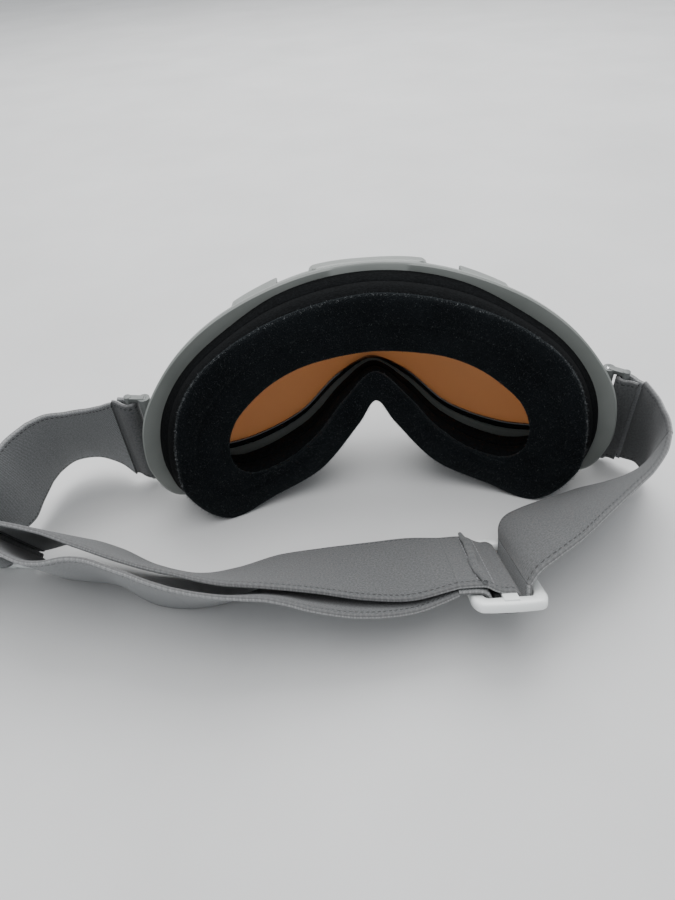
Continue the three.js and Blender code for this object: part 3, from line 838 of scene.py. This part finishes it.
def seam_fibres(half, count=4200):
    """The pale fuzz along the seam between the fleece and the foam under it."""
    loop = outline(half, FLEECE_SEAM_DEPTH - 0.2, STATIONS * FINE)
    pick = RANDOM.integers(0, len(loop), count)
    middle = loop.mean(axis=0)
    outwards = loop[pick] - middle
    outwards[:, 1] = -12
    outwards /= np.linalg.norm(outwards, axis=1)[:, None]
    root = loop[pick] + RANDOM.normal(0, 0.28, (count, 3))
    normal = outwards @ np.array(LEAN.transposed())
    return tufts("seam_fuzz", to_row(root), normal, (0.3, 1.0), 0.9, SEAM_LOOK)


def tufts(name, root, normal, lengths, spread, material):
    """Thin three-cornered fibres that leave their roots along the normals, more or less."""
    count = len(root)
    direction = normal + RANDOM.normal(0, spread, (count, 3))
    direction /= np.linalg.norm(direction, axis=1)[:, None]
    length = RANDOM.uniform(*lengths, count)[:, None] * MM
    side = np.cross(direction, RANDOM.normal(0, 1, (count, 3)))
    side *= (0.045 * MM / np.linalg.norm(side, axis=1))[:, None]
    points = np.stack([root - side, root + side, root + direction * length], 1).reshape(-1, 3)
    faces = [(3 * i, 3 * i + 1, 3 * i + 2) for i in range(count)]
    return make_mesh(name, points, faces, material, smooth=False)


def build_vent_foam():
    front = [blend(FRONT_EDGE, LENS_EDGE, share) for share in (0.52, 0.42)]
    spans = {
        "top_vent_foam": (-3.6, 3.6),
        "bottom_vent_foam_right": (9.3, 11.4),
        "bottom_vent_foam_left": (-11.4, -9.3),
    }
    for node, span in spans.items():
        piece = strip(f"{node}_strip", span, *front, VENT_FOAM_DEPTH, FOAM_LOOK)
        finish_piece(piece, "goggles", "foam", node)


# ---- Straps ----


def width_direction(azimuth, lean):
    a, h = radians(azimuth), radians(lean)
    return (math.cos(h) * math.cos(a), math.cos(h) * math.sin(a), math.sin(h))


def ribbon(name, middle, across, origin=(0, 0, 0), steps_per_mm=0.9, offset=0.0, turned=False):
    """A flat strap with rolled edges. Its UV map holds millimetres along and across."""
    rough = spline(middle, False, 200)
    length = np.linalg.norm(np.diff(rough, axis=0), axis=1).sum()
    count = max(int(length * steps_per_mm), 12)
    centre = spline(middle, False, count)
    side = spline(across, False, count)
    side /= np.linalg.norm(side, axis=1)[:, None]
    tangent = np.gradient(centre, axis=0)
    normal = np.cross(tangent, side)
    normal /= np.linalg.norm(normal, axis=1)[:, None]
    steps = np.linalg.norm(np.diff(centre, axis=0), axis=1)
    travelled = np.concatenate([[0], np.cumsum(steps)]) + offset
    v, h = strap_section()
    points = centre[:, None] + side[:, None] * v[None, :, None] + normal[:, None] * h[None, :, None]
    points = np.concatenate([points, points[:1], points[-1:]])
    columns = len(v)
    faces = grid_faces(count, columns, closed_rows=False)
    caps = count * columns + np.arange(columns)
    faces += [tuple(caps[::-1].tolist()), tuple((caps + columns).tolist())]
    front, back = (STRAP_OUTSIDE, STRAP_INSIDE) if turned else (STRAP_INSIDE, STRAP_OUTSIDE)
    obj = make_mesh(name, (points.reshape(-1, 3) + np.array(origin)) * MM, faces, front)
    obj.data.materials.append(back)
    paint_ribbon(obj, columns, np.append(travelled, travelled[[0, -1]]), v)
    return obj, length


def strap_section():
    """The strap's section, (across, through): two faces of FACE_COLUMNS points and two rolled edges."""
    half, thick = STRAP_WIDTH / 2, STRAP_THICK / 2
    face = np.linspace(-half + 0.9, half - 0.9, FACE_COLUMNS)
    flat = np.full(FACE_COLUMNS, thick)
    edge = np.array([half - 0.25, half, half - 0.25])
    roll = np.array([0.75 * thick, 0, -0.75 * thick])
    return np.concatenate([face, edge, face[::-1], -edge]), np.concatenate([flat, roll, -flat, -roll])


def paint_ribbon(obj, columns, travelled, v):
    """Gives a ribbon its UV map, and its two sides their materials."""
    mesh = obj.data
    uv = mesh.uv_layers.new(name="UVMap")
    for polygon in mesh.polygons:
        spans = [mesh.loops[i].vertex_index % columns for i in polygon.loop_indices]
        on_back = all(FACE_COLUMNS < s < 2 * FACE_COLUMNS + 5 for s in spans)
        polygon.material_index = 1 if on_back and len(spans) == 4 else 0
        for loop_index, column in zip(polygon.loop_indices, spans):
            row = mesh.loops[loop_index].vertex_index // columns
            uv.data[loop_index].uv = (travelled[row], v[column])
    mesh.update()


def run_of(stations):
    points = [s[:3] for s in stations]
    across = [width_direction(*s[3:]) for s in stations]
    return points, across


def build_strap(name, stations, node, bodies, still=(0, -1), offset=0.0):
    """A strap that blends from one body to the next, between its two still stations."""
    points, across = run_of(stations)
    strap, length = ribbon(name, points, across, ORIGIN, offset=offset)
    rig.slot(strap, "strap")
    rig.replaces(strap, node)
    start, end = ((Vector(points[i]) + ORIGIN) * MM for i in still)
    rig.blend(strap, *bodies, start, end)
    return length


def build_straps():
    sides = (("left", LEFT_FRONT, LEFT_SIDE, 2), ("right", RIGHT_FRONT, RIGHT_SIDE, 1))
    for side, front, back, first in sides:
        bodies = (f"{side}_anchor", "goggles", f"{side}_adjuster")
        run = build_strap(f"strap_{side}_front_band", front, f"strap_{side}_front", bodies[:2])
        build_strap(f"strap_{side}_side_band", back, f"strap_{side}_side", bodies[1:], (first, -1), run)
    split_run("inner", INNER_RUN, ("left_adjuster", "right_adjuster"), turned=True)
    split_run("outer", OUTER_RUN, ("right_adjuster", "left_adjuster"))


def split_run(name, stations, bodies, turned=False, cut=6):
    """A strap run between both sliders, in two pieces that meet where the strap stays still."""
    points, across = run_of(stations)
    fine, sides = spline(points, False, 121), spline(across, False, 121)
    at = int(120 * cut / (len(points) - 1))
    step = 5 if at % 5 == 0 else 1
    travelled = 0.0
    parts = ((slice(0, at + 1), (bodies[0], "goggles")), (slice(at, 121), ("goggles", bodies[1])))
    for number, (part, pair) in enumerate(parts):
        middle, width = fine[part][::step], sides[part][::step]
        band = f"strap_{name}_band_{number}"
        strap, length = ribbon(band, middle, width, ORIGIN, offset=travelled, turned=turned)
        travelled += length
        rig.slot(strap, "strap")
        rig.replaces(strap, f"strap_{name}")
        start, end = ((Vector(middle[i]) + ORIGIN) * MM for i in (0, -1))
        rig.blend(strap, *pair, start, end)


# ---- Sliders and anchors ----


def slider_place(node, turn):
    low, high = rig.box(node)
    yaw, lean = turn
    rotation = Matrix.Rotation(radians(yaw), 4, "Z") @ Matrix.Rotation(-radians(lean), 4, "X")
    return Matrix.Translation((low + high) / 2) @ rotation


def slider_plate(name, place):
    """A moulded slider: a rounded rim with bowed ends round two slots, and a bar between them."""
    length, width, top = SLIDER["length"] / 2, SLIDER["width"] / 2, SLIDER["thick"] / 2
    inner_length, inner_width = length - SLIDER["side_bar"], SLIDER["slot_width"] / 2
    turn = np.linspace(0, 2 * math.pi, 96, endpoint=False)
    corner, centre, end = 2.8, SLIDER["centre_bar"], width - inner_width
    sections = (
        (length - 0.4, width - 0.4, corner - 0.4, -top), (length, width, corner, 0.4 - top),
        (length, width, corner, top - 0.6), (length - 0.7, width - 0.7, corner - 0.7, top),
        (inner_length + 0.5, inner_width + 0.5, 1.4, top), (inner_length, inner_width, 1, top - 0.5),
        (inner_length, inner_width, 1, 0.4 - top), (inner_length + 0.4, inner_width + 0.4, 1.3, -top),
    )
    rows = []
    for reach_x, reach_y, radius, z in sections:
        x, y = rounded_rectangle(reach_x, reach_y, radius, turn)
        bow = 1.1 * (1 - (x / length) ** 2) * np.sign(y) * (reach_y > width - 2)
        rows.append(np.column_stack([x, y + bow, np.full(len(turn), z)]))
    rim = make_mesh(f"{name}_rim", np.concatenate(rows), grid_faces(len(rows), len(turn)), SLIDER_LOOK)
    face_outwards(rim)
    bar = cube((centre, 2 * inner_width + 3, 2), (0, 0, 0))
    tab_size = (centre + 1, end + 0.8, 2 * top + 0.9)
    tabs = [cube(tab_size, (0, s * (inner_width + end / 2 - 0.9), 0)) for s in (-1, 1)]
    for part in (bar, *tabs):
        part.data.materials.append(SLIDER_LOOK)
        soften(part, 0.55, 4)
    plate = join([rim, bar, *tabs])
    plate.name = name
    plate.data.transform(Matrix.Scale(MM, 4))
    shade_by_angle(plate, 60)
    plate.data.transform(place)
    return plate


def rounded_rectangle(reach_x, reach_y, radius, turn):
    """Points round a rectangle with rounded corners, one for each turn."""
    c, s = np.cos(turn), np.sin(turn)
    power = 0.25
    cx = np.sign(c) * np.abs(c) ** power
    sy = np.sign(s) * np.abs(s) ** power
    straight_x, straight_y = reach_x - radius, reach_y - radius
    x = np.clip(cx * reach_x * 1.02, -reach_x, reach_x)
    y = np.clip(sy * reach_y * 1.02, -reach_y, reach_y)
    over_x, over_y = np.maximum(np.abs(x) - straight_x, 0), np.maximum(np.abs(y) - straight_y, 0)
    far = np.hypot(over_x, over_y)
    pull = np.where(far > radius, radius / np.maximum(far, 1e-9), 1)
    x = np.where(over_x > 0, np.sign(x) * (straight_x + over_x * pull), x)
    y = np.where(over_y > 0, np.sign(y) * (straight_y + over_y * pull), y)
    return x, y


def unite(parts):
    base = parts[0]
    for part in parts[1:]:
        modifier = base.modifiers.new("Union", "BOOLEAN")
        modifier.operation = "UNION"
        modifier.solver = "EXACT"
        modifier.object = part
        apply_modifiers(base)
        bpy.data.objects.remove(part)
    return base


def folded(name, path, place):
    points = [(x, 0, z) for x, z in path]
    across = [(0, 1, 0)] * len(path)
    strap, _ = ribbon(name, points, across, steps_per_mm=3)
    strap.data.transform(place)
    return strap


def stitched_fold(place, columns=24, rows=90):
    """The gathered end of the sewn loop: a low ridge that wanders a little and narrows at its ends."""
    turn = np.linspace(0, 2 * math.pi, columns, endpoint=False)
    half = STRAP_WIDTH / 2
    points = []
    for y in np.linspace(-half, half, rows):
        taper = 1 - 0.35 * (abs(y) / half) ** 6
        wander = 0.4 * math.sin(0.21 * y) + 0.1 * math.sin(0.7 * y + 1)
        height = 0.16 * math.sin(0.5 * y + 2) + 0.06 * math.sin(1.7 * y)
        pinch = 1 + 0.12 * np.cos(2 * turn + 0.12 * y) + 0.05 * np.cos(3 * turn - 0.3 * y)
        along = RIDGE["along"] + wander + taper * RIDGE["half_width"] * pinch * np.cos(turn)
        up = RIDGE["up"] + height + taper * RIDGE["half_height"] * pinch * np.sin(turn)
        points += [(x, y, z) for x, z in zip(along, up)]
    faces = grid_faces(rows, columns, closed_rows=False)
    last = (rows - 1) * columns
    faces += [tuple(range(columns - 1, -1, -1)), tuple(range(last, last + columns))]
    ridge = make_mesh("inner_strap_ridge", np.array(points) * MM, faces, STRAP_INSIDE)
    uv = ridge.data.uv_layers.new(name="UVMap")
    for loop in ridge.data.loops:
        x, y, z = ridge.data.vertices[loop.vertex_index].co / MM
        uv.data[loop.index].uv = (y, 1.4 * (x + z))
    ridge.data.transform(place)
    return ridge


def stitch_row(name, ends, place, pitch=2.2, radius=0.22):
    """A row of separate thread stitches between two points of a slider's frame."""
    start, end = (Vector(p) for p in ends)
    count = int((end - start).length / pitch)
    step = (end - start) / count
    stitches = []
    for i in range(count):
        bpy.ops.mesh.primitive_uv_sphere_add(segments=10, ring_count=6, radius=1)
        stitch = bpy.context.object
        axis = step.normalized()
        turn = Vector((1, 0, 0)).rotation_difference(axis).to_matrix().to_4x4()
        scale = Matrix.Diagonal((0.38 * pitch, radius, radius, 1))
        stitch.data.transform(Matrix.Translation(start + step * (i + 0.5)) @ turn @ scale)
        stitch.data.materials.append(THREAD_LOOK)
        stitches.append(stitch)
    row = join(stitches)
    row.name = name
    row.data.transform(Matrix.Scale(MM, 4))
    row.data.transform(place)
    return row


def build_right_slider():
    place = slider_place("slider_right", RIGHT_SLIDER_TURN)
    body = "right_adjuster"
    finish_piece(slider_plate("right_slider", place), body, "slider", "slider_right")
    finish_piece(folded("inner_end_loop_band", SEWN_LOOP, place), body, "strap", "strap_inner_end_loop")
    finish_piece(folded("right_thread_band", THREAD_RIGHT, place), body, "strap", "strap_right_thread")
    finish_piece(stitched_fold(place), body, "strap", "strap_inner_fold")
    half = STRAP_WIDTH / 2 - 2
    for number, (along, height) in enumerate(((-8.6, 5.75), (-3.9, 4.3))):
        row = stitch_row(f"fold_stitches_{number}", ((along, -half, height), (along, half, height)), place)
        finish_piece(row, body, "strap")


def build_left_slider():
    place = slider_place("slider_left", LEFT_SLIDER_TURN)
    body = "left_adjuster"
    finish_piece(slider_plate("left_slider", place), body, "slider", "slider_left")
    finish_piece(folded("outer_end_loop_band", SEWN_LOOP_LEFT, place), body, "strap", "strap_outer_end_loop")
    finish_piece(folded("left_thread_band", THREAD_LEFT, place), body, "strap", "strap_left_thread")


def build_anchor(side):
    """A slim bracket between the frame's lug and the strap, its steel pin and the strap's loop."""
    name = "right" if side > 0 else "left"
    swing = -RIGHT_SWING if side > 0 else 180 - LEFT_SWING
    place = hinge_place(side) @ Matrix.Rotation(radians(swing), 4, "Z")
    bracket = anchor_bracket()
    bracket.name = f"{name}_anchor_bracket"
    pin = soften(rod(PIN["radius"], PIN["length"], (0, 0, 0)), 0.25)
    pin.data.materials.append(PIN_LOOK)
    pin.name = f"{name}_anchor_pin"
    for piece in (bracket, pin):
        piece.data.transform(Matrix.Scale(MM, 4))
    loop = folded(f"{name}_anchor_loop_band", anchor_loop_path(), Matrix.Rotation(radians(90), 4, "X"))
    rows = ((bracket, "anchor", f"strap_anchor_{name}"), (pin, "pin", f"anchor_pin_{name}"))
    rows += ((loop, "strap", f"strap_{name}_anchor_loop"),)
    for piece, slot, node in rows:
        piece.data.transform(place)
        shade_by_angle(piece, 40)
        finish_piece(piece, f"{name}_anchor", slot, node)


def anchor_bracket():
    """The bar that holds the strap, with an arm and a knuckle for the pin at each end."""
    half, reach, start = ANCHOR["half_height"], ANCHOR["bar_offset"], KNUCKLE["start"]
    knuckle_length = half - 0.4 - start
    knuckle_middle = start + knuckle_length / 2
    parts = [rod(ANCHOR["bar_radius"], 2 * half, (reach, 0, 0))]
    for end in (-1, 1):
        parts.append(cube((reach, 2.4, 1.6), (reach / 2, 0, end * (half - 1))))
        parts.append(rod(KNUCKLE["radius"], knuckle_length, (0, 0, end * knuckle_middle)))
    for part in parts:
        part.data.materials.append(ANCHOR_LOOK)
    return soften(unite(parts), 0.4)


def anchor_loop_path():
    """The strap's way round the anchor's bar: the long layer goes on, the short one is sewn to it."""
    bar, around = ANCHOR["bar_offset"], ANCHOR["bar_radius"] + LOOP_GAP + STRAP_THICK / 2
    slant = 0.72 * around
    return [
        (bar + 6.6, 0.25), (bar + 4.6, -0.3), (bar + 2.4, -1.6), (bar, -around), (bar - slant, -slant),
        (bar - around, 0), (bar - slant, slant), (bar, around), (bar + 2.4, 1.7), (bar + 5, 1.75),
    ]


def rod(radius, length, middle, sides=32):
    bpy.ops.mesh.primitive_cylinder_add(vertices=sides, radius=radius, depth=length)
    made = bpy.context.object
    made.data.transform(Matrix.Translation(middle))
    return made


def cube(size, middle):
    bpy.ops.mesh.primitive_cube_add(size=1)
    made = bpy.context.object
    made.data.transform(Matrix.Translation(middle) @ Matrix.Diagonal((*size, 1)))
    return made


# ---- Table, light and camera ----


def build_stage():
    bpy.ops.mesh.primitive_plane_add(size=6)
    floor = bpy.context.object
    floor.name = "table_top"
    floor.data.materials.append(table_material())
    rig.stage(floor)
    world = bpy.data.worlds.new("soft_room")
    world.use_nodes = True
    background = world.node_tree.nodes["Background"]
    background.inputs["Color"].default_value = (0.93, 0.96, 1.0, 1)
    background.inputs["Strength"].default_value = 0.68
    bpy.context.scene.world = world
    area_light("window", (0.1, 0.9, 1.1), (0, 0, 0), 1.3, 20)
    area_light("ceiling", (-0.1, -0.1, 1.5), (0, 0, 0), 1.6, 15)


def area_light(name, place, target, size, power):
    data = bpy.data.lights.new(name, "AREA")
    data.shape = "DISK"
    data.size = size
    data.energy = power
    light = bpy.data.objects.new(name, data)
    light.location = place
    light.rotation_euler = (Vector(target) - Vector(place)).to_track_quat("-Z", "Y").to_euler()
    bpy.context.scene.collection.objects.link(light)


def build_camera():
    """The camera stands behind the goggles and above them, as a hand-held camera would."""
    place = Vector((-12, -182, 184))
    pitch, azimuth, roll = 40, 1, 4.3
    data = bpy.data.cameras.new("camera")
    data.lens = 27.04
    data.sensor_width = 36
    data.clip_start = 0.01
    camera = bpy.data.objects.new("camera", data)
    turn = Euler((radians(90 - pitch), 0, radians(azimuth))).to_matrix().to_4x4()
    tilt = Matrix.Rotation(-radians(roll), 4, "Z")
    camera.matrix_world = Matrix.Translation((ORIGIN + place) * MM) @ turn @ tilt
    bpy.context.scene.collection.objects.link(camera)
    bpy.context.scene.camera = camera


def write_sizes(before, after):
    boxes = {"cad": before, "visual": after}
    sizes = {name: [list(map(float, corner)) for corner in box] for name, box in boxes.items()}
    with open("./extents.json", "w") as out:
        json.dump(sizes, out)


build_frame()
build_lenses()
build_foam()
build_vent_foam()
build_straps()
build_right_slider()
build_left_slider()
build_anchor(-1)
build_anchor(1)
build_stage()
build_camera()
write_sizes(cad_box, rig.bounds())
